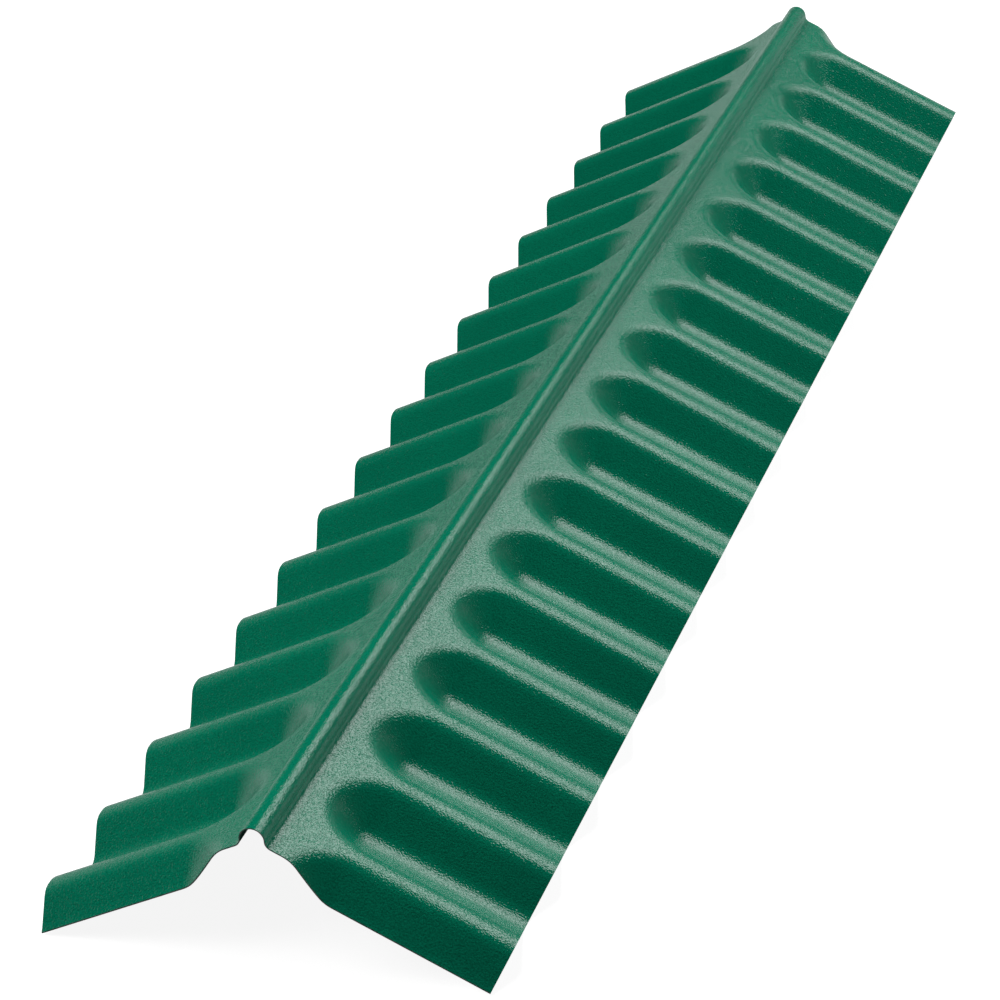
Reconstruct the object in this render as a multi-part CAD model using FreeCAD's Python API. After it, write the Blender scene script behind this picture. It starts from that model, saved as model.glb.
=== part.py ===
import FreeCAD, Part
import math
import os

# Roof ridge cap: one sheet of coated steel, pressed and folded.
# A small round roll runs along the ridge. A flat land lies on each side of it,
# and past the land the wing is corrugated across its width, down to an outer
# edge that is cut square. Each flute begins beside the land as a rounded scoop,
# so the crests run on from the land at its own level.
#
# All sizes are in millimetres. The ridge runs along Y and Z points up.
# The origin is midway between the wing edges and the two ends, on the floor
# that the wing edges stand on. A wing is drawn flat first: s runs down the
# slope from the ridge line, y along the ridge, and h stands off the wing.

# Driving dimensions: the sheet
sheet_thickness = 0.7
wing_slope_deg = 25.5
wing_width = 150.0

# Driving dimensions: the corrugation
pitch = 76.0
crest_count = 17
end_margin = 30.0
wave_depth = 16.0
crest_radius = 18.0
valley_radius = 18.0
crest_flat = 2.5
valley_flat = 2.5
flute_start = 17.5

# Driving dimensions: the roll along the ridge
roll_radius = 7.5
roll_wall = 0.2
foot_radius = 4.7

# The round end of a flute is drawn as short straight bends, mitred together
scoop_mitres = 7

# How far a cutting shape reaches past the sheet that it cuts
overrun = 6.0

# Share of the half pitch that the rounded crest and valley may take together
round_limit = 0.95

# Worked out from the driving dimensions
slope = math.radians(wing_slope_deg)
length = (crest_count - 1) * pitch + 2 * end_margin
half_run = (pitch - crest_flat - valley_flat) / 2
rim = (pitch - crest_flat) / 2
mitre = math.radians(90 / scoop_mitres)
flute_axis = flute_start + rim
flute_count = crest_count + 1


def fitted_radii():
    """Crest and valley radii, eased together where the flank would lose its straight part."""
    most = (round_limit * half_run ** 2 / wave_depth + wave_depth) / 2
    ease = min(1.0, most / (crest_radius + valley_radius))
    return crest_radius * ease, valley_radius * ease


def flank_angle():
    """Angle of the straight flank between the round crest and the round valley."""
    bend = 2 * sum(fitted_radii()) - wave_depth
    root = math.sqrt(half_run ** 2 - bend * wave_depth)
    return 2 * math.atan(wave_depth / (half_run + root))


def point(across, high):
    """A point of the flute's section: across from its axis, and high off the wing."""
    return FreeCAD.Vector(0, across, high)


def bend(centre_across, centre_high, radius, start, end):
    """An arc of the section, with its angles counted from straight down."""
    def at(angle):
        return point(centre_across + radius * math.sin(angle), centre_high - radius * math.cos(angle))
    return Part.Arc(at(start), at((start + end) / 2), at(end)).toShape()


def half_section_edges(depth):
    """Half of the flute's line, from its axis to its rim, at a depth below the outer surface."""
    crest, valley = fitted_radii()
    angle = flank_angle()
    floor_arc = bend(valley_flat / 2, valley - wave_depth, valley + depth, 0, angle)
    crest_arc = bend(rim, -crest, crest - depth, math.pi + angle, math.pi)
    floor = Part.makeLine(point(0, -wave_depth - depth), floor_arc.Vertexes[0].Point)
    flank = Part.makeLine(floor_arc.Vertexes[-1].Point, crest_arc.Vertexes[0].Point)
    return [floor, floor_arc, flank, crest_arc]


def half_section():
    """The sheet's own section over half a flute."""
    outer = half_section_edges(0)
    inner = half_section_edges(sheet_thickness)
    at_axis = Part.makeLine(outer[0].Vertexes[0].Point, inner[0].Vertexes[0].Point)
    at_rim = Part.makeLine(outer[-1].Vertexes[-1].Point, inner[-1].Vertexes[-1].Point)
    return Part.Face(Part.Wire(Part.__sortEdges__(outer + inner + [at_axis, at_rim])))


def prism(corners, low, high):
    """An upright block over a list of corners in the wing plane."""
    loop = [FreeCAD.Vector(x, y, low) for x, y in corners]
    return Part.Face(Part.makePolygon(loop + loop[:1])).extrude(FreeCAD.Vector(0, 0, high - low))


def mitred(back, front, front_is_mitred):
    """Half a flute drawn out from back to front, and cut along the mitre lines through its axis."""
    bar = half_section().extrude(FreeCAD.Vector(front + back, 0, 0))
    bar.translate(FreeCAD.Vector(-back, 0, 0))
    reach = rim + overrun
    side = reach * math.tan(mitre)
    corners = [(0, 0), (-side, reach), (side if front_is_mitred else front + overrun, reach)]
    if not front_is_mitred:
        corners.append((front + overrun, 0))
    return bar.common(prism(corners, -wave_depth - overrun, overrun))


def flute():
    """One flute with its axis at the origin: a straight trough, and a round end of mitred bends."""
    spread = rim * math.tan(mitre) + overrun
    run = mitred(spread, wing_width - flute_axis, False)
    step = mitred(spread, spread, True)
    parts = [run, run.mirror(FreeCAD.Vector(0, 0, 0), FreeCAD.Vector(0, 1, 0))]
    for turn in range(1, scoop_mitres):
        piece = step.copy()
        piece.rotate(FreeCAD.Vector(0, 0, 0), FreeCAD.Vector(0, 0, 1), math.degrees(2 * mitre * turn))
        parts.append(piece)
    return parts[0].multiFuse(parts[1:]).removeSplitter()


def flute_outline():
    """Corners of the hole that a flute fills in the flat wing: two straight sides and a round end."""
    corner = rim / math.cos(mitre)
    angles = [mitre * (2 * turn + 1) for turn in range(scoop_mitres)]
    round_end = [(-corner * math.sin(angle), corner * math.cos(angle)) for angle in angles]
    front = wing_width + overrun - flute_axis
    return [(front, rim)] + round_end + [(front, -rim)]


def roll_foot():
    """Distance down the slope from the ridge line to the end of the roll's rounded foot."""
    side = roll_radius + foot_radius
    rise = (foot_radius - side * math.sin(slope)) / math.cos(slope)
    return side * math.cos(slope) - rise * math.sin(slope)


def land_edge():
    """Where the ridge strip ends and the wing begins, midway across the flat land."""
    return (roll_foot() + flute_start) / 2


def wing():
    """One wing, drawn flat and a little longer than the cap: a land with its row of flutes."""
    root = land_edge()
    width = flute_count * pitch
    land = Part.makeBox(
        wing_width - root,
        width,
        sheet_thickness,
        FreeCAD.Vector(root, -width / 2, -sheet_thickness),
    )
    one_hole = prism(flute_outline(), -overrun, overrun)
    one_flute = flute()
    holes = []
    flutes = []
    for row in range(flute_count):
        place = FreeCAD.Vector(flute_axis, (row - (flute_count - 1) / 2) * pitch, 0)
        holes.append(one_hole.translated(place))
        flutes.append(one_flute.translated(place))
    return land.cut(holes).multiFuse(flutes).removeSplitter()


def ridge_path(depth):
    """Edges of the ridge strip's section at a depth below its outer surface, from left to right."""
    foot_x = roll_radius + foot_radius
    foot_z = (foot_radius - foot_x * math.sin(slope)) / math.cos(slope)
    top_z = foot_z + roll_wall
    radius = roll_radius - depth
    foot = foot_radius + depth
    middle = (math.pi / 2 + slope) / 2
    edge = land_edge()
    right = [
        FreeCAD.Vector(radius, 0, top_z),
        FreeCAD.Vector(radius, 0, foot_z),
        FreeCAD.Vector(foot_x - foot * math.sin(middle), 0, foot_z - foot * math.cos(middle)),
        FreeCAD.Vector(foot_x - foot * math.sin(slope), 0, foot_z - foot * math.cos(slope)),
        FreeCAD.Vector(
            edge * math.cos(slope) - depth * math.sin(slope),
            0,
            -edge * math.sin(slope) - depth * math.cos(slope),
        ),
    ]
    left = [FreeCAD.Vector(-corner.x, 0, corner.z) for corner in right]
    crown = FreeCAD.Vector(0, 0, top_z + radius)
    return [
        Part.makeLine(left[4], left[3]),
        Part.Arc(left[3], left[2], left[1]).toShape(),
        Part.makeLine(left[1], left[0]),
        Part.Arc(left[0], crown, right[0]).toShape(),
        Part.makeLine(right[0], right[1]),
        Part.Arc(right[1], right[2], right[3]).toShape(),
        Part.makeLine(right[3], right[4]),
    ]


def ridge_strip():
    """The roll and the inner part of each flat land, as one bent strip as long as the wings."""
    strip_length = flute_count * pitch
    outer = ridge_path(0)
    inner = ridge_path(sheet_thickness)
    left_end = Part.makeLine(outer[0].Vertexes[0].Point, inner[0].Vertexes[0].Point)
    right_end = Part.makeLine(outer[-1].Vertexes[-1].Point, inner[-1].Vertexes[-1].Point)
    section = Part.Face(Part.Wire(Part.__sortEdges__(outer + inner + [left_end, right_end])))
    strip = section.extrude(FreeCAD.Vector(0, strip_length, 0))
    return strip.translated(FreeCAD.Vector(0, -strip_length / 2, 0))


def ridge_cap():
    """The whole cap: ridge strip and both wings, cut square at its two ends, stood on the wing edges."""
    right = wing()
    right.rotate(FreeCAD.Vector(0, 0, 0), FreeCAD.Vector(0, 1, 0), wing_slope_deg)
    left = right.mirror(FreeCAD.Vector(0, 0, 0), FreeCAD.Vector(1, 0, 0))
    long_cap = ridge_strip().multiFuse([right, left]).removeSplitter()
    box = long_cap.BoundBox
    keep = Part.makeBox(
        box.XLength + 2 * overrun,
        length,
        box.ZLength + 2 * overrun,
        FreeCAD.Vector(box.XMin - overrun, -length / 2, box.ZMin - overrun),
    )
    standing_height = wing_width * math.sin(slope) + (wave_depth + sheet_thickness) * math.cos(slope)
    return long_cap.common(keep).Solids[0].translated(FreeCAD.Vector(0, 0, standing_height))


os.makedirs("parts", exist_ok=True)
cap = ridge_cap()
box = cap.BoundBox
print("valid", cap.isValid(), "volume", round(cap.Volume, 1), "faces", len(cap.Faces))
print("box", round(box.XLength, 3), round(box.YLength, 3), round(box.ZLength, 3))
cap.exportStep("parts/ridge_cap.step")
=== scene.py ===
# %% [markdown]
# # A pressed steel ridge cap, dressed
# This is the cap that closes the top of a roof of small corrugated sheets. It is one sheet of coated steel:
# a round roll along the ridge, a flat land each side of it, and two wings with a row of pressed flutes.
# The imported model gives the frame, in metres, with the ridge along Y. Everything below is built in that
# frame, so nothing has to be fitted by hand.

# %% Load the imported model
import math

import bpy
import numpy as np
from mathutils import Matrix, Vector


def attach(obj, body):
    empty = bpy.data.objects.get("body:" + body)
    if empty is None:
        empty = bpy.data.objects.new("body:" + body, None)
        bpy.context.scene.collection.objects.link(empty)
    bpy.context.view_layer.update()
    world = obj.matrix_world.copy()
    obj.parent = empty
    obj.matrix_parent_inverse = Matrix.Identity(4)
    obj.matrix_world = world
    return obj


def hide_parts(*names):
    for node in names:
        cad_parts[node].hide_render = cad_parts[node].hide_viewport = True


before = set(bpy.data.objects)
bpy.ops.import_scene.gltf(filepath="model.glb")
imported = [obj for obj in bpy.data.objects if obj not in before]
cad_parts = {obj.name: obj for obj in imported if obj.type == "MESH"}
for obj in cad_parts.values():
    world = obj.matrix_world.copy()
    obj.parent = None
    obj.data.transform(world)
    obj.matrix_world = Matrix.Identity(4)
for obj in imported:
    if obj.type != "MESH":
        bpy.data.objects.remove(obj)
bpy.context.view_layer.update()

CAD_NODE = "ridge_cap"

# %% [markdown]
# ## The camera
# The photograph looks down the length of the cap from its near end, a little to the right. A long lens far
# away keeps the two edges nearly parallel. A camera set by eye would do for a first look, but on an outline
# this straight each degree shows, so it was worked out from the outline: where it stands, and which way is
# right and forward in the picture. Down follows from those two. Blender's camera looks along its own -Z with
# +Y up, so the matrix takes the down and forward directions turned about.

# %% Camera
MM = 0.001
CAMERA_PLACE = Vector((687.89, -2277.46, 1180.33)) * MM
PICTURE_RIGHT = Vector((0.955812, 0.290524, -0.044929))
PICTURE_FORWARD = Vector((-0.278462, 0.845738, -0.455177))
SENSOR_WIDTH = 36.0
FOCAL_PIXELS = 3919.4
PICTURE_PIXELS = 1000.0
FARTHEST_SEEN = 50000.0 * MM

def new_object(name, data):
    """Puts data into the scene as an object."""
    made = bpy.data.objects.new(name, data)
    bpy.context.scene.collection.objects.link(made)
    return made

def camera_matrix(place, right, forward):
    """A camera's matrix from where it stands and two directions of its picture."""
    forward = forward.normalized()
    down = forward.cross(right).normalized()
    right = down.cross(forward)
    turn = Matrix((right, -down, -forward)).transposed()
    return Matrix.Translation(place) @ turn.to_4x4()

lens = bpy.data.cameras.new("photo_camera")
lens.sensor_width = SENSOR_WIDTH
lens.lens = FOCAL_PIXELS / PICTURE_PIXELS * SENSOR_WIDTH
lens.clip_end = FARTHEST_SEEN
camera = new_object("photo_camera", lens)
camera.matrix_world = camera_matrix(CAMERA_PLACE, PICTURE_RIGHT, PICTURE_FORWARD)
bpy.context.scene.camera = camera
print("camera lens", round(lens.lens, 1), "mm, at", [round(v, 3) for v in CAMERA_PLACE])

# %% [markdown]
# ## The section of a flute
# Each flute is a round crest, a straight flank and a round valley, with a narrow flat at top and bottom. The
# same line serves twice: across the straight trough, and outwards from the centre of the scoop that closes
# it. So one function gives, for a distance from the flute's axis, how high the sheet lies and how far it
# tilts. The line could also be drawn as a Bezier curve and swept, but a formula lets the underside follow at
# exactly one thickness. All sizes of the sheet are in millimetres.

# %% Flute section
PITCH = 76.0
DEPTH = 16.0
CREST_RADIUS = 18.0
VALLEY_RADIUS = 18.0
CREST_FLAT = 2.5
VALLEY_FLAT = 2.5
RIM = (PITCH - CREST_FLAT) / 2
HALF_RUN = (PITCH - CREST_FLAT - VALLEY_FLAT) / 2

# The flank is as steep as it must be for both bends and the flank to fill the run and the depth.
bend_surplus = 2 * (CREST_RADIUS + VALLEY_RADIUS) - DEPTH
FLANK = 2 * math.atan(DEPTH / (HALF_RUN + math.sqrt(HALF_RUN ** 2 - bend_surplus * DEPTH)))

def flute_line(distance):
    """Height and tilt of the outer surface at a distance from the flute's axis."""
    from_flat = distance - VALLEY_FLAT / 2
    to_rim = RIM - distance
    floor_end = VALLEY_RADIUS * math.sin(FLANK)
    crest_end = CREST_RADIUS * math.sin(FLANK)
    floor_tilt = np.arcsin(np.clip(from_flat / VALLEY_RADIUS, 0, 1))
    crest_tilt = np.arcsin(np.clip(to_rim / CREST_RADIUS, 0, 1))
    floor = -DEPTH + VALLEY_RADIUS * (1 - np.cos(floor_tilt))
    crest = -CREST_RADIUS * (1 - np.cos(crest_tilt))
    flank = -CREST_RADIUS * (1 - math.cos(FLANK)) - (to_rim - crest_end) * math.tan(FLANK)
    height = np.where(from_flat < floor_end, floor, np.where(to_rim < crest_end, crest, flank))
    tilt = np.where(from_flat < floor_end, floor_tilt, np.where(to_rim < crest_end, crest_tilt, FLANK))
    return height, tilt

print("flute", PITCH, "by", DEPTH, "mm, flank angle", round(math.degrees(FLANK), 1), "degrees")

# %% [markdown]
# ## The section across the ridge
# Across the ridge the sheet rises over a small round roll, turns through a soft foot each side and runs out
# flat. A bevelled curve could make the roll, but it would have to be joined to the wings afterwards. Here it
# is a list of points with their outward directions, in the plane that is square to the ridge: the wings'
# columns go on from its last point, and the underside can be set off by one thickness here too.

# %% Roll section
SLOPE = math.radians(25.5)
ROLL_RADIUS = 7.5
ROLL_WALL = 0.2
FOOT_RADIUS = 4.7
CROWN_STEPS = 12
FOOT_STEPS = 7

foot_x = ROLL_RADIUS + FOOT_RADIUS
foot_z = (FOOT_RADIUS - foot_x * math.sin(SLOPE)) / math.cos(SLOPE)
crown_z = foot_z + ROLL_WALL
FOOT_END = foot_x * math.cos(SLOPE) - foot_z * math.sin(SLOPE)

def roll_half():
    """Points and outward directions from the crown to the end of the foot, on the right-hand side."""
    points, outward = [], []
    for angle in np.linspace(0, math.pi / 2, CROWN_STEPS + 1):
        points.append((ROLL_RADIUS * math.sin(angle), crown_z + ROLL_RADIUS * math.cos(angle)))
        outward.append((math.sin(angle), math.cos(angle)))
    for angle in np.linspace(math.pi / 2, SLOPE, FOOT_STEPS + 1):
        points.append((foot_x - FOOT_RADIUS * math.sin(angle), foot_z - FOOT_RADIUS * math.cos(angle)))
        outward.append((math.sin(angle), math.cos(angle)))
    return np.array(points), np.array(outward)

roll_points, roll_outward = roll_half()
print("roll", len(roll_points), "points, foot ends", round(FOOT_END, 2), "mm from the ridge line")

# %% [markdown]
# ## The grid of the sheet
# The whole cap is one net of quads: columns run along the ridge and rows run across it. Columns are close
# together over the scoops, where the form changes in both directions, and far apart along the straight
# troughs. A subdivided box with a displace modifier could do this too, but here every point is put where the
# press would put it, and the outline stays exact.

# %% Net columns and rows
CREST_COUNT = 17
END_MARGIN = 30.0
LENGTH = (CREST_COUNT - 1) * PITCH + 2 * END_MARGIN
WING_WIDTH = 150.0
FLUTE_START = 17.5
FLUTE_AXIS = FLUTE_START + RIM
LAND_COLUMNS = 2
SCOOP_COLUMNS = 18
TROUGH_COLUMNS = 6
ROWS_PER_PITCH = 28

land_s = np.linspace(FOOT_END, FLUTE_START, LAND_COLUMNS + 1)[1:]
scoop_s = np.linspace(FLUTE_START, FLUTE_AXIS, SCOOP_COLUMNS + 1)[1:]
trough_s = np.linspace(FLUTE_AXIS, WING_WIDTH, TROUGH_COLUMNS + 1)[1:]
wing_s = np.concatenate([land_s, scoop_s, trough_s])
row_count = round(LENGTH / PITCH * ROWS_PER_PITCH)
rows_y = np.linspace(-LENGTH / 2, LENGTH / 2, row_count + 1)
print("net", 2 * (len(wing_s) + len(roll_points)) - 1, "columns by", len(rows_y), "rows,", LENGTH, "mm long")

# %% [markdown]
# ## Pressing the net
# On a wing, a point's distance from the flute is measured straight across over the trough, and from the
# scoop's centre beside the land. The direction of that distance is the way the sheet tilts, so it also gives
# the outward direction. A solidify modifier would thicken the sheet as well, but it would lean the cut ends.
# The ends are cut square, so in the last rows the underside keeps its place along the ridge.

# %% Wing surface
SHEET = 0.7
SAME_PLACE = 1e-6
LEAST_DISTANCE = 1e-9

def along_from_axis(y):
    """Distance along the ridge from the nearest flute's axis, with its sign."""
    return (y + (CREST_COUNT % 2) * PITCH / 2 + PITCH / 2) % PITCH - PITCH / 2

def wing_surface(s, y):
    """Points on the outer and inner face of the right-hand wing, for grids of s and y."""
    along = along_from_axis(y)
    inside = np.minimum(s - FLUTE_AXIS, 0)
    distance = np.hypot(inside, along)
    height, tilt = flute_line(np.minimum(distance, RIM))
    tilt = np.where(distance < RIM, tilt, 0)
    height = np.where(distance < RIM, height, 0)
    safe = np.maximum(distance, LEAST_DISTANCE)
    lean_s = -np.sin(tilt) * inside / safe
    lean_y = -np.sin(tilt) * along / safe
    rise = np.cos(tilt)
    at_end = np.abs(np.abs(y) - LENGTH / 2) < SAME_PLACE
    outer = np.stack([s, y, height], -1)
    square = np.stack([lean_s, lean_y, rise], -1) * SHEET
    down = np.stack([0 * s, 0 * s, SHEET / rise], -1)
    inner = outer - np.where(at_end[..., None], down, square)
    return outer, inner

print("scoop's centre", FLUTE_AXIS, "mm down the slope, sheet", SHEET, "mm thick")

# %% [markdown]
# ## Laying the wing on its slope
# The wing is worked out level, and only then turned to the slope that the roof has. The object could be turned
# instead, but one mesh holds both wings and each leans its own way, so the points are turned.

# %% Wing net
def wing_to_cap(points):
    """Turns wing coordinates (down the slope, along, off the wing) into the cap's, from the ridge line."""
    s, y, h = np.moveaxis(points, -1, 0)
    x = s * math.cos(SLOPE) + h * math.sin(SLOPE)
    z = -s * math.sin(SLOPE) + h * math.cos(SLOPE)
    return np.stack([x, y, z], -1)

grid_s, grid_y = np.meshgrid(wing_s, rows_y, indexing="ij")
wing_outer, wing_inner = (wing_to_cap(face) for face in wing_surface(grid_s, grid_y))
print("wing net", wing_outer.shape)

# %% [markdown]
# ## The full width, face and back
# The roll's columns are its section repeated along the ridge. Put beside the wing's columns and mirrored,
# they make the full width, once for the outer face and once for the inner one. A mirror modifier would do
# the second half too, but the numbers of the points are needed next, so the mirroring is done here. The cap
# is lifted until its two wing edges stand on the floor.

# %% Both faces of the sheet
STANDING = WING_WIDTH * math.sin(SLOPE) + (DEPTH + SHEET) * math.cos(SLOPE)

def roll_net(depth):
    """The roll's columns at a depth below the outer surface."""
    section = roll_points - depth * roll_outward
    x = np.repeat(section[:, :1], len(rows_y), 1)
    z = np.repeat(section[:, 1:], len(rows_y), 1)
    y = np.repeat(rows_y[None, :], len(section), 0)
    return np.stack([x, y, z], -1)

def full_width(roll, wing):
    """Both halves side by side, with the crown's column used once."""
    half = np.concatenate([roll, wing])
    mirrored = half[:0:-1] * (-1, 1, 1)
    return np.concatenate([mirrored, half]) + (0, 0, STANDING)

outer = full_width(roll_net(0), wing_outer)
inner = full_width(roll_net(SHEET), wing_inner)
print("each face", outer.shape[:2], "points, ridge line", round(STANDING, 2), "mm above the floor")

# %% [markdown]
# ## One closed skin
# The outer and the inner net are joined by a narrow strip round the cut edge. That makes a closed solid of
# real thickness, ready to be printed or weighed. A single sheet of faces would look much the same from afar,
# but its cut edge would have no width. A face is a list of four point numbers, counted so that it looks
# outwards: that is why the underside's are turned about.

# %% Faces of the sheet
columns, rows = outer.shape[:2]
face_points = columns * rows
number = np.arange(face_points).reshape(columns, rows)

def quads(net, flip):
    """The net's faces as four corner numbers each."""
    corners = [net[:-1, :-1], net[1:, :-1], net[1:, 1:], net[:-1, 1:]]
    faces = np.stack(corners, -1).reshape(-1, 4)
    return faces[:, ::-1] if flip else faces

def edge_strip(rim_outer, rim_inner):
    """Faces that close the gap along the cut edge."""
    return np.stack([rim_outer[:-1], rim_inner[:-1], rim_inner[1:], rim_outer[1:]], -1)

round_outer = np.concatenate([number[:, 0], number[-1, 1:], number[-2::-1, -1], number[0, -2::-1]])
round_inner = round_outer + face_points
top_faces = quads(number, False)
under_faces = quads(number + face_points, True)
cut_faces = edge_strip(round_outer, round_inner)
print("faces above", len(top_faces), "below", len(under_faces), "round the edge", len(cut_faces))

# %% [markdown]
# ## The mesh
# Points and faces become one mesh. It could be built face by face with bmesh, but a whole list at once is
# quicker. Blender wants metres, so the points are scaled here, once.

# %% Build the sheet
sheet_mesh = bpy.data.meshes.new("cap_sheet")
points = np.concatenate([outer.reshape(-1, 3), inner.reshape(-1, 3)]) * MM
faces = np.concatenate([top_faces, under_faces, cut_faces])
sheet_mesh.from_pydata(points.tolist(), [], faces.tolist())
sheet = new_object("cap_sheet", sheet_mesh)
sheet_mesh.shade_smooth()
print("sheet", len(points), "points", len(faces), "faces", "valid", not sheet_mesh.validate())

# %% [markdown]
# ## Material numbers
# The three kinds of surface get a material number: the coated face, the underside and the bare cut edge.
# They could be three objects, but it is one sheet, and one mesh keeps it closed. The strip round the edge
# meets the faces at a sharp corner, so its border edges are marked sharp.

# %% Mark faces
COATED, UNDERSIDE, CUT = 0, 1, 2
kinds = np.concatenate([
    np.full(len(top_faces), COATED),
    np.full(len(under_faces), UNDERSIDE),
    np.full(len(cut_faces), CUT),
])
sheet_mesh.polygons.foreach_set("material_index", kinds.astype(np.int32))

ends = np.empty(len(sheet_mesh.edges) * 2, np.int32)
sheet_mesh.edges.foreach_get("vertices", ends)
ends = ends.reshape(-1, 2)
on_rim = np.zeros(len(points), bool)
on_rim[round_outer] = True
on_rim[round_inner] = True
same_side = (ends[:, 0] < face_points) == (ends[:, 1] < face_points)
sharp = on_rim[ends].all(1) & same_side
sharp_attribute = sheet_mesh.attributes.new("sharp_edge", "BOOLEAN", "EDGE")
sharp_attribute.data.foreach_set("value", sharp)
print("sharp edges", int(sharp.sum()))

# %% [markdown]
# ## How far the press has drawn the sheet
# Along a straight trough the sheet is only bent, but at the rounded end of a scoop it is stretched as well.
# Stretched coating is thinner and duller, and the coating's colour there also carries a painted olive-brown
# reflection, so the amount is worked out from the form and stored with each point, where a material can
# read it. Painting it by hand would give the same, but would have to be redone after each change.

# %% Stretched places
CLEARLY_DRAWN = 0.5

def stretched(s, y):
    """0 on flat places and straight bends, 1 on the steep end of a scoop."""
    inside = np.minimum(s - FLUTE_AXIS, 0)
    distance = np.minimum(np.hypot(inside, along_from_axis(y)), RIM)
    tilt = np.where(distance < RIM, flute_line(distance)[1], 0)
    return tilt / FLANK * np.abs(inside) / np.maximum(distance, LEAST_DISTANCE)

wing_drawn = stretched(grid_s, grid_y)
half_drawn = np.concatenate([np.zeros((len(roll_points), rows)), wing_drawn])
drawn = np.concatenate([half_drawn[:0:-1], half_drawn])
drawn_attribute = sheet_mesh.attributes.new("drawn", "FLOAT", "POINT")
drawn_attribute.data.foreach_set("value", np.tile(drawn.ravel(), 2))
print("drawn places", round(float((drawn > CLEARLY_DRAWN).mean()) * 100, 1), "% of the points")

# %% [markdown]
# ## Small helpers for shader nodes
# A material is a graph of nodes. It could be wired by hand in the editor, but in a script the same few steps
# come again for each finish, so they are named once. The first helper adds a node with its settings, the
# second a noise that is fixed to the object, and the third stretches a value to the range that a socket
# needs.

# %% Node helpers
def node(tree, kind, x, y, **settings):
    """Adds a shader node at a place on the canvas and sets its properties."""
    made = tree.nodes.new(kind)
    made.location = (x, y)
    for name, value in settings.items():
        setattr(made, name, value)
    return made

def noise(tree, scale, detail, x, y):
    """A noise fixed to the object; the scale is in blobs to the metre."""
    where = node(tree, "ShaderNodeTexCoord", x - 200, y)
    made = node(tree, "ShaderNodeTexNoise", x, y)
    made.inputs["Scale"].default_value = scale
    made.inputs["Detail"].default_value = detail
    tree.links.new(where.outputs["Object"], made.inputs["Vector"])
    return made.outputs["Fac"]

def spread(tree, value, ends, results, x, y):
    """Maps a value between two ends onto two results."""
    made = node(tree, "ShaderNodeMapRange", x, y)
    made.inputs["From Min"].default_value = ends[0]
    made.inputs["From Max"].default_value = ends[1]
    made.inputs["To Min"].default_value = results[0]
    made.inputs["To Max"].default_value = results[1]
    tree.links.new(value, made.inputs["Value"])
    return made.outputs["Result"]

print("helpers", node.__name__, noise.__name__, spread.__name__)

# %% [markdown]
# ## Mixing colours and starting a finish
# Blender's mix node has a pair of inputs for each kind of data, all with the same two names, so the ones for
# colours are found by their number. A finish starts as one principled shader, which covers plastic, lacquer
# and bare steel alike. Separate glossy and diffuse shaders would need their balance set by hand.

# %% Finish helpers
MIX_COLOUR_A, MIX_COLOUR_B, MIX_COLOUR_OUT = 6, 7, 2

def blend(tree, amount, first, second, x, y):
    """Mixes two colours; each is a colour or another node's output."""
    made = node(tree, "ShaderNodeMix", x, y, data_type="RGBA")
    tree.links.new(amount, made.inputs["Factor"])
    for socket, colour in ((MIX_COLOUR_A, first), (MIX_COLOUR_B, second)):
        if isinstance(colour, tuple):
            made.inputs[socket].default_value = colour
        else:
            tree.links.new(colour, made.inputs[socket])
    return made.outputs[MIX_COLOUR_OUT]

def new_finish(name):
    """An empty finish with one principled shader."""
    finish = bpy.data.materials.new(name)
    finish.use_nodes = True
    return finish, finish.node_tree, finish.node_tree.nodes["Principled BSDF"]

print("helpers", blend.__name__, new_finish.__name__)

# %% [markdown]
# ## The coating
# The steel wears a thick plastic coating with a leathery grain. It looks even and deep green where it faces
# the viewer. Where it mirrors the bright space behind the cap it turns pale, and at the border of the two
# the grain breaks the light into specks. One flat green would match a single spot. Four things make it here:
# a broad, faint mottle in the colour, pits that are a little darker and duller, thinner coating at the
# scoops' ends with a painted olive-brown reflection in its tint, and a fine grain that tilts the surface.
# The colour comes first.

# %% Coating colour
GREEN_DEEP = (0.0004, 0.119, 0.066, 1)
GREEN_FRESH = (0.0006, 0.135, 0.074, 1)
GREEN_PIT = (0.0003, 0.096, 0.053, 1)
# Olive-brown tint of the drawn scoop ends: thinner coating, with a painted reflection in it.
GREEN_THINNED_WITH_REFLECTION = (0.0050, 0.098, 0.055, 1)
MOTTLE_SCALE, MOTTLE_DETAIL = 11.0, 3.0
MOTTLE_ENDS = (0.35, 0.65)
PIT_SCALE, PIT_DETAIL = 1050.0, 0.0
PIT_ENDS = (0.45, 0.70)
DRAWN_ENDS = (0.60, 1.0)
THINNED_REFLECTION_SHARE = (0.0, 0.5)
ZERO_TO_ONE = (0.0, 1.0)

coating, tree, shader = new_finish("coating")
mottle_noise = noise(tree, MOTTLE_SCALE, MOTTLE_DETAIL, -1100, 500)
mottle = spread(tree, mottle_noise, MOTTLE_ENDS, ZERO_TO_ONE, -850, 500)
pits = noise(tree, PIT_SCALE, PIT_DETAIL, -1100, 200)
in_pits = spread(tree, pits, PIT_ENDS, ZERO_TO_ONE, -850, 250)
drawn_here = node(tree, "ShaderNodeAttribute", -1100, 0, attribute_name="drawn")
thinned_and_reflection = spread(tree, drawn_here.outputs["Fac"], DRAWN_ENDS, THINNED_REFLECTION_SHARE, -850, 0)
colour = blend(tree, mottle, GREEN_DEEP, GREEN_FRESH, -600, 500)
colour = blend(tree, in_pits, colour, GREEN_PIT, -400, 400)
# Painted olive-brown reflection, mixed in with the thinner coating's tint where the scoops' ends are drawn.
colour = blend(tree, thinned_and_reflection, colour, GREEN_THINNED_WITH_REFLECTION, -200, 300)
tree.links.new(colour, shader.inputs["Base Color"])
print("coating colour nodes", len(tree.nodes))

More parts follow.
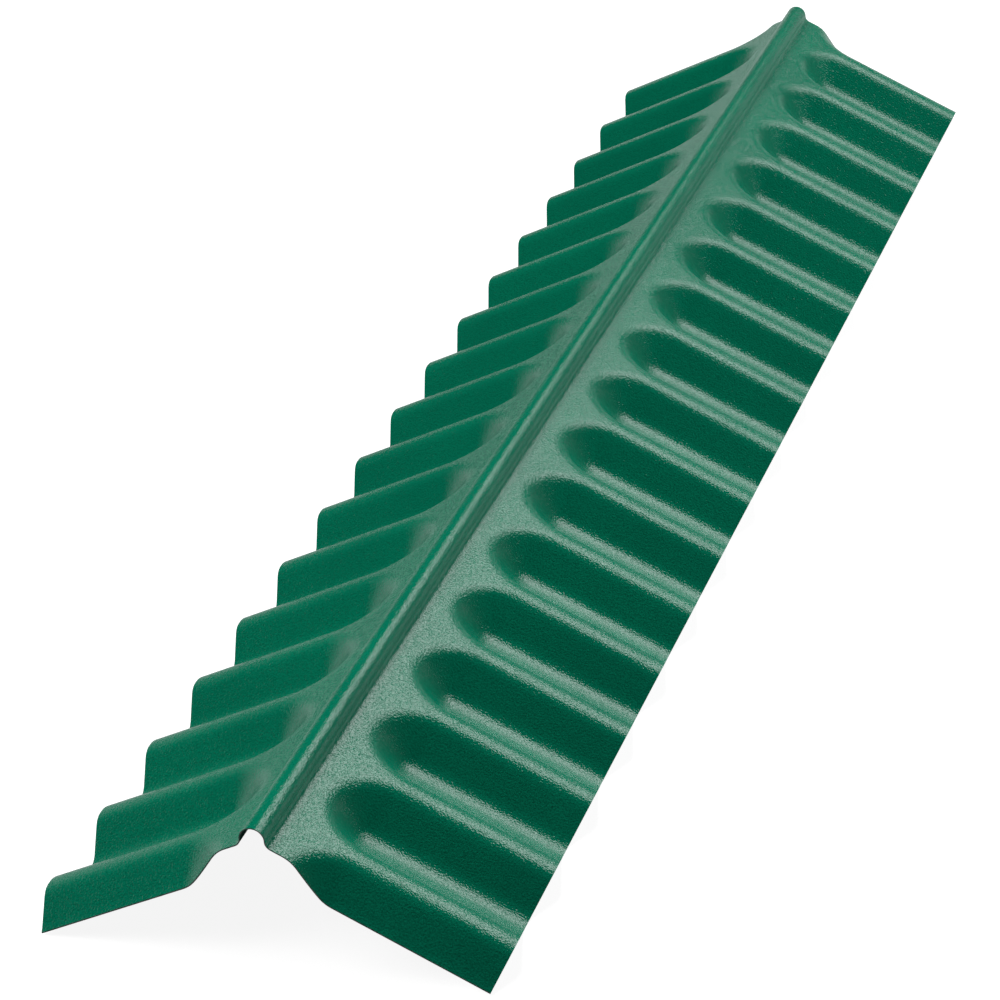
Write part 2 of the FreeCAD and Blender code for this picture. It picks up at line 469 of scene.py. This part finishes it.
# %% [markdown]
# ## The coating's gloss and grain
# Seen close up, such plastic is glossy. It looks matt from afar because the many small slopes of its grain
# spread what it mirrors. A high roughness would look as matt but would lose the specks, so the roughness is
# low here and a bump does the spreading: a third of a millimetre at most, on blobs a little over a
# millimetre wide. The pits mirror less than the rest, which gives the salt-and-pepper look of the pale lands.

# %% Coating gloss and grain
PIT_GLOSS_ENDS = (0.38, 0.62)
ROUGHNESS = (0.05, 0.10)
MIRRORING = (0.66, 0.44)
GRAIN_SCALE, GRAIN_DETAIL = 850.0, 1.0
GRAIN_HEIGHT = 0.00034

def emboss(tree, shader, height_value, height, x, y):
    """Raises the surface by a height in metres wherever the value is high."""
    bump = node(tree, "ShaderNodeBump", x, y)
    bump.inputs["Distance"].default_value = height
    bump.inputs["Strength"].default_value = 1.0
    tree.links.new(height_value, bump.inputs["Height"])
    tree.links.new(bump.outputs["Normal"], shader.inputs["Normal"])

roughness = spread(tree, pits, PIT_GLOSS_ENDS, ROUGHNESS, -200, 0)
mirroring = spread(tree, pits, PIT_GLOSS_ENDS, MIRRORING, -200, -200)
tree.links.new(roughness, shader.inputs["Roughness"])
tree.links.new(mirroring, shader.inputs["Specular IOR Level"])
emboss(tree, shader, noise(tree, GRAIN_SCALE, GRAIN_DETAIL, -400, -400), GRAIN_HEIGHT, -100, -400)
sheet_mesh.materials.append(coating)
print("grain", round(1 / GRAIN_SCALE / MM, 2), "mm wide")

# %% [markdown]
# ## The underside
# The back of such sheet has only a thin, smooth lacquer, duller than the face. It could wear the face's
# coating, but a plain back shows at once which side is out. It is a calmer grey-green here, with faint
# clouds as a coating line leaves them. The photograph doesn't show it.

# %% Underside finish
BACK_DARK = (0.022, 0.082, 0.056, 1)
BACK_LIGHT = (0.032, 0.104, 0.072, 1)
CLOUD_SCALE, CLOUD_DETAIL = 26.0, 2.0
CLOUD_ENDS = (0.35, 0.65)
BACK_ROUGHNESS = (0.34, 0.46)
BACK_GRAIN_SCALE, BACK_GRAIN_DETAIL = 600.0, 1.0
BACK_GRAIN_HEIGHT = 0.00004

backing, tree, shader = new_finish("underside_lacquer")
clouds = spread(tree, noise(tree, CLOUD_SCALE, CLOUD_DETAIL, -900, 300), CLOUD_ENDS, ZERO_TO_ONE, -650, 300)
tree.links.new(blend(tree, clouds, BACK_DARK, BACK_LIGHT, -400, 300), shader.inputs["Base Color"])
tree.links.new(spread(tree, clouds, ZERO_TO_ONE, BACK_ROUGHNESS, -400, 0), shader.inputs["Roughness"])
back_grain = noise(tree, BACK_GRAIN_SCALE, BACK_GRAIN_DETAIL, -400, -300)
emboss(tree, shader, back_grain, BACK_GRAIN_HEIGHT, -100, -300)
sheet_mesh.materials.append(backing)
print("underside nodes", len(tree.nodes))

# %% [markdown]
# ## The cut edge
# Shears leave a band of bare steel between the two coats, with green dragged over part of it. The edge could
# stay green, but from the ends it is the grey line that tells how thin the sheet is. It is less than a
# millimetre wide, so the finish is short: two colours in small patches, the steel ones more than half metal,
# with a rough bump.

# %% Cut edge finish
SHEARED_STEEL = (0.105, 0.115, 0.110, 1)
DRAGGED_GREEN = (0.004, 0.070, 0.040, 1)
PATCH_SCALE, PATCH_DETAIL = 420.0, 2.0
PATCH_ENDS = (0.40, 0.60)
EDGE_METAL = (0.6, 0.0)
EDGE_ROUGHNESS = (0.35, 0.55)
SHEAR_SCALE, SHEAR_DETAIL = 1400.0, 1.0
SHEAR_HEIGHT = 0.00006

edge, tree, shader = new_finish("sheared_edge")
dragged = spread(tree, noise(tree, PATCH_SCALE, PATCH_DETAIL, -900, 300), PATCH_ENDS, ZERO_TO_ONE, -650, 300)
tree.links.new(blend(tree, dragged, SHEARED_STEEL, DRAGGED_GREEN, -400, 300), shader.inputs["Base Color"])
tree.links.new(spread(tree, dragged, ZERO_TO_ONE, EDGE_METAL, -400, 100), shader.inputs["Metallic"])
tree.links.new(spread(tree, dragged, ZERO_TO_ONE, EDGE_ROUGHNESS, -400, -100), shader.inputs["Roughness"])
emboss(tree, shader, noise(tree, SHEAR_SCALE, SHEAR_DETAIL, -400, -300), SHEAR_HEIGHT, -100, -300)
sheet_mesh.materials.append(edge)
print("finishes", [finish.name for finish in sheet_mesh.materials])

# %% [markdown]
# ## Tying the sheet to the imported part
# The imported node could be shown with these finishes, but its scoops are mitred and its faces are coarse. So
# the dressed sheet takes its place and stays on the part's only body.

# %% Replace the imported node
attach(sheet, "root")
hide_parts(CAD_NODE)
print(sheet.name, "stands for", CAD_NODE)

# %% [markdown]
# ## The floor
# The cap lies on white paper. A white that is lit to full brightness would throw a lot of light back on the
# sheet, so the paper is grey for the lamps and adds a glow that only the camera sees. What the cap keeps
# from it still shows as a soft shadow.

# %% Floor
FLOOR_HALF = 12.0
FLOOR_GREY = 0.27
FLOOR_GLOW = 0.90
WHITE = (1, 1, 1, 1)

floor_mesh = bpy.data.meshes.new("floor")
corners = [(x * FLOOR_HALF, y * FLOOR_HALF, 0) for x, y in ((-1, -1), (1, -1), (1, 1), (-1, 1))]
floor_mesh.from_pydata(corners, [], [(0, 1, 2, 3)])
floor = new_object("floor", floor_mesh)

paper, tree, shader = new_finish("white_paper")
shader.inputs["Base Color"].default_value = (FLOOR_GREY, FLOOR_GREY, FLOOR_GREY, 1)
shader.inputs["Roughness"].default_value = 1.0
shader.inputs["Specular IOR Level"].default_value = 0.0
shader.inputs["Emission Color"].default_value = WHITE
seen = node(tree, "ShaderNodeLightPath", -600, -200)
glow = node(tree, "ShaderNodeMath", -300, -200, operation="MULTIPLY")
glow.inputs[1].default_value = FLOOR_GLOW
tree.links.new(seen.outputs["Is Camera Ray"], glow.inputs[0])
tree.links.new(glow.outputs[0], shader.inputs["Emission Strength"])
floor_mesh.materials.append(paper)
print("floor", 2 * FLOOR_HALF, "m square")

# %% [markdown]
# ## The space around
# Beyond the paper's edge everything is white to the camera. To the sheet it is nearly black, so that it
# mirrors only the bright cards below, as it would in a darkened studio. A plain grey sky would be simpler,
# but every flank would mirror it and lose its deep green.

# %% World
SKY_DIFFUSE = 0.04
SKY_GLOSS = 0.01

world = bpy.data.worlds.new("studio")
bpy.context.scene.world = world
world.use_nodes = True
tree = world.node_tree
tree.nodes.clear()
world_out = node(tree, "ShaderNodeOutputWorld", 600, 0)
sky = node(tree, "ShaderNodeBackground", 300, 0)
sky.inputs["Color"].default_value = WHITE
rays = node(tree, "ShaderNodeLightPath", -600, 0)
dim = node(tree, "ShaderNodeMapRange", -300, -200)
dim.inputs["To Min"].default_value = SKY_DIFFUSE
dim.inputs["To Max"].default_value = SKY_GLOSS
brighter = node(tree, "ShaderNodeMath", 0, 0, operation="MAXIMUM")
tree.links.new(rays.outputs["Is Glossy Ray"], dim.inputs["Value"])
tree.links.new(dim.outputs["Result"], brighter.inputs[0])
tree.links.new(rays.outputs["Is Camera Ray"], brighter.inputs[1])
tree.links.new(brighter.outputs[0], sky.inputs["Strength"])
tree.links.new(sky.outputs[0], world_out.inputs["Surface"])
print("sky", SKY_DIFFUSE, "on the sheet,", SKY_GLOSS, "in it")

# %% [markdown]
# ## Soft lamps
# A lamp is a flat rectangle that shines one way. Its strength is given here as a brightness instead of watts,
# so that a lamp can change its size and still look as bright. One big dome of light would be simpler, but it
# would mirror everywhere and hide the flutes, so the light on the green and the light that is mirrored in it
# come from lamps of their own. Their places and sizes are in metres.

# %% Soft lamps
def softbox(name, place, aim, size, radiance, glossy=True, diffuse=True):
    """Places a flat lamp of a given brightness, as the camera would see it."""
    data = bpy.data.lights.new(name, "AREA")
    data.shape = "RECTANGLE"
    data.size, data.size_y = size
    data.energy = radiance * math.pi * size[0] * size[1]
    lamp = new_object(name, data)
    lamp.location = place
    lamp.rotation_euler = (Vector(aim) - Vector(place)).to_track_quat("-Z", "Y").to_euler()
    lamp.visible_glossy = glossy
    lamp.visible_diffuse = diffuse
    lamp.visible_camera = False
    print(name, "shines", round(data.energy, 1), "watts")

# %% [markdown]
# ## Cards that are only mirrored
# These stand behind the cap and at its left, and light nothing by themselves. The large one makes the pale
# lands and the lines along the crests. The others are dimmer, and are mirrored in the roll, the flanks and
# the left-hand wing. Moving a card moves the pale bands, so each was set against the place in the photograph
# where its band ends.

# %% Mirrored cards
softbox("back_sheet", place=(1.35, 2.4, 2.42), aim=(1.35, 0.0, 2.02), size=(2.3, 1.76),
        radiance=3.75, diffuse=False)
softbox("under_sheet", place=(1.15, 2.5, 0.8), aim=(1.15, 0.0, 0.8), size=(2.9, 1.0),
        radiance=0.05, diffuse=False)
softbox("foot_right", place=(-0.25, 2.5, 0.14), aim=(-0.25, 0.0, 0.14), size=(1.9, 0.28),
        radiance=0.7, diffuse=False)
softbox("left_wall", place=(-3.0, 0.9, 0.47), aim=(0.0, 0.9, 0.47), size=(3.4, 0.94),
        radiance=0.44, diffuse=False)

# %% [markdown]
# ## The even light
# These softboxes give the light of the green itself and are mirrored nowhere. Their places were solved from
# how bright the sheet is at each slope and at each distance along the ridge. They all look at the middle of
# the cap. One lamp from above would do for a flat sheet, but here the flanks face every way.

# %% Even light
CAP_MIDDLE = (0, 0, 0)
softbox("left_back", place=(-4.24, 7.35, 8.49), aim=CAP_MIDDLE, size=(5.4, 5.4),
        radiance=24.0, glossy=False)
softbox("right_low", place=(2.01, 1.16, 0.62), aim=CAP_MIDDLE, size=(1.08, 1.08),
        radiance=16.5, glossy=False)
softbox("left_front", place=(-0.57, -0.98, 1.13), aim=CAP_MIDDLE, size=(0.72, 0.72),
        radiance=5.2, glossy=False)
softbox("left_top", place=(-0.69, -0.40, 1.39), aim=CAP_MIDDLE, size=(0.72, 0.72),
        radiance=2.0, glossy=False)

# %% [markdown]
# ## Finish
# The view transform is the plain one, so that the colours come out as they are written.

# %% Finish
bpy.context.scene.view_settings.view_transform = "Standard"
